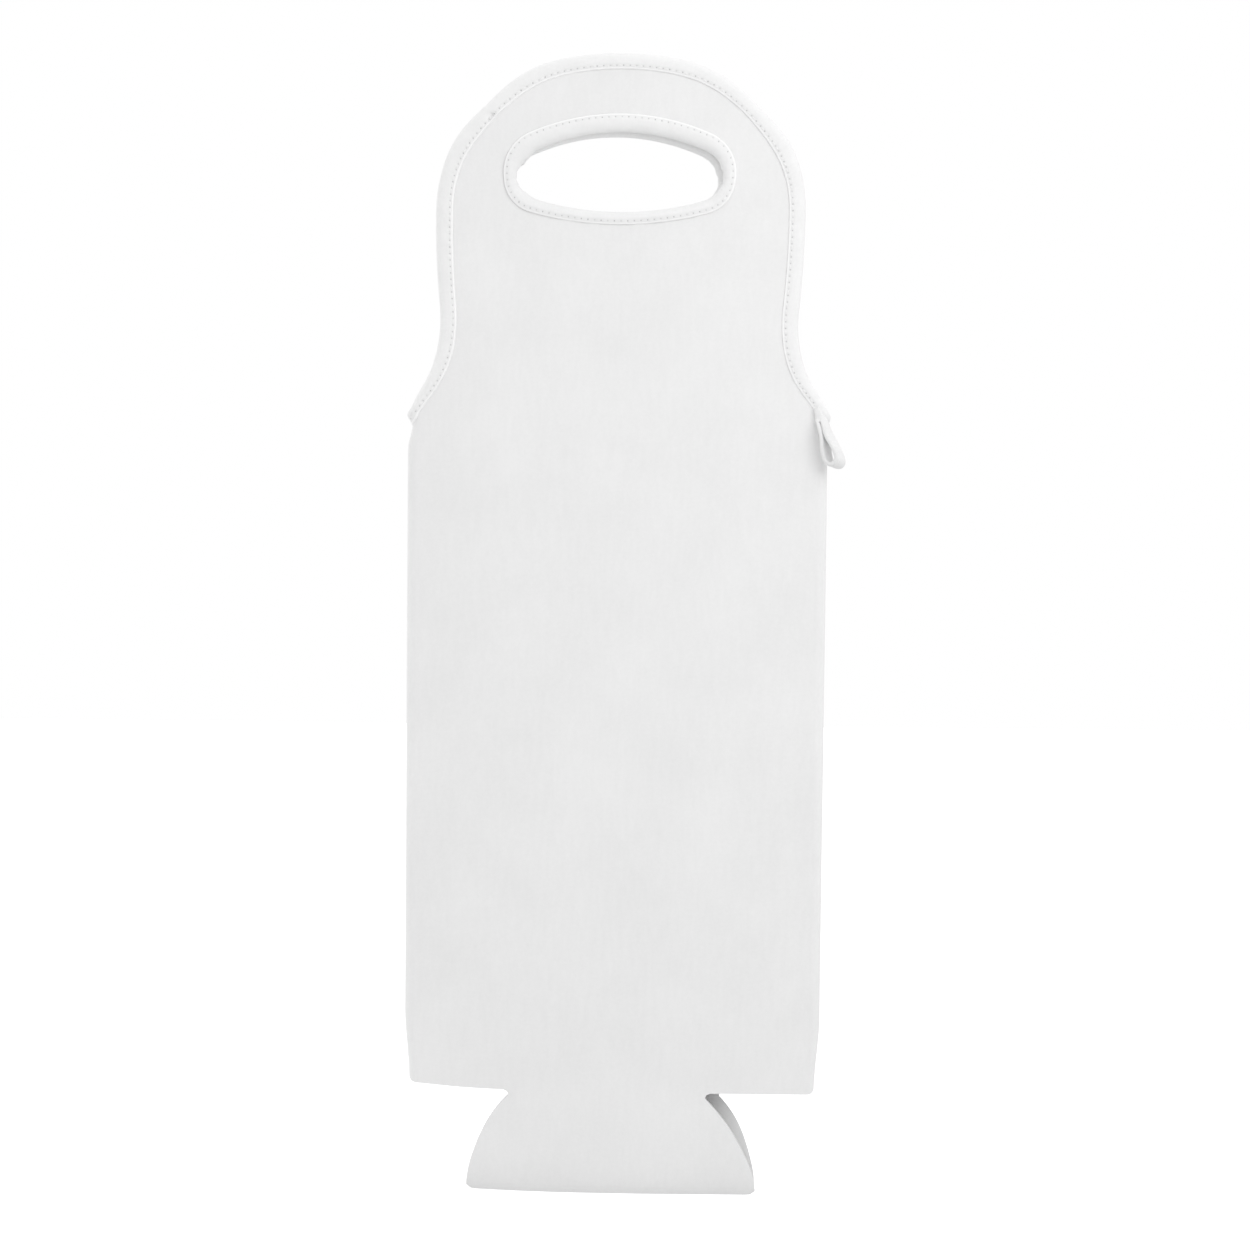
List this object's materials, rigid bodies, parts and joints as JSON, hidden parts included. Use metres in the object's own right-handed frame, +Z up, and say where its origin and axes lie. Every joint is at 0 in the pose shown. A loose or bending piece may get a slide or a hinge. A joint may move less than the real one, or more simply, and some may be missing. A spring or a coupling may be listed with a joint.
{
  "type": "bottle carrier",
  "caption": "Soft foam sleeve carrier for one wine bottle, lying flat and empty: two arched handle halves with bound oval hand holes, a folded round base and a side loop.",
  "frame": {"origin": "centre of the hand hole, midway between the front and the back handle half", "axes": "+Z up along the carrier's height, towards the crown of the handle; front is -Y; +X to the right, towards the side loop"},
  "size_m": [0.1466, 0.0201, 0.3802],
  "materials": {
    "foam": "white knit-faced foam rubber sheet, matt",
    "tape": "white folded knit binding tape, matt with a faint sheen",
    "thread": "white polyester sewing thread"
  },
  "bodies": {
    "sleeve": {"front_sleeve_panel": "foam", "back_sleeve_panel": "foam", "left_side_seam": "foam", "right_side_seam": "foam", "left_seam_thread": "thread", "right_seam_thread": "thread", "left_corner_tape": "tape", "right_corner_tape": "tape", "front_base_neck": "foam", "back_base_neck": "foam", "loop_bartack": "thread"},
    "front_handle": {"front_handle_panel": "foam", "front_edge_binding": "tape", "front_edge_thread": "thread", "front_grip_binding": "tape", "front_grip_thread": "thread", "front_tape_backtack": "thread"},
    "back_handle": {"back_handle_panel": "foam", "back_edge_binding": "tape", "back_edge_thread": "thread", "back_grip_binding": "tape", "back_grip_thread": "thread"},
    "base": {"base_disc": "foam"},
    "loop": {"side_loop": "tape"}
  },
  "joints": [
    {"name": "front_handle_bend", "type": "hinge", "parent": "sleeve", "child": "front_handle", "pos_m": [0, -0.0066, -0.08021], "axis": [1, 0, 0], "range_deg": [0, 90], "stiffness_Nm_per_rad": 0.03},
    {"name": "back_handle_bend", "type": "hinge", "parent": "sleeve", "child": "back_handle", "pos_m": [0, 0.0066, -0.08021], "axis": [-1, 0, 0], "range_deg": [0, 90], "stiffness_Nm_per_rad": 0.03},
    {"name": "base_swing", "type": "hinge", "parent": "sleeve", "child": "base", "pos_m": [0, 0, -0.31311], "axis": [1, 0, 0], "range_deg": [-90, 90], "stiffness_Nm_per_rad": 0.01, "deforming": ["front_base_neck", "back_base_neck"]},
    {"name": "loop_swing", "type": "hinge", "parent": "sleeve", "child": "loop", "pos_m": [0.0674, -0.00984, -0.08171], "axis": [0, 1, 0], "range_deg": [-90, 40], "stiffness_Nm_per_rad": 0.0002}
  ]
}
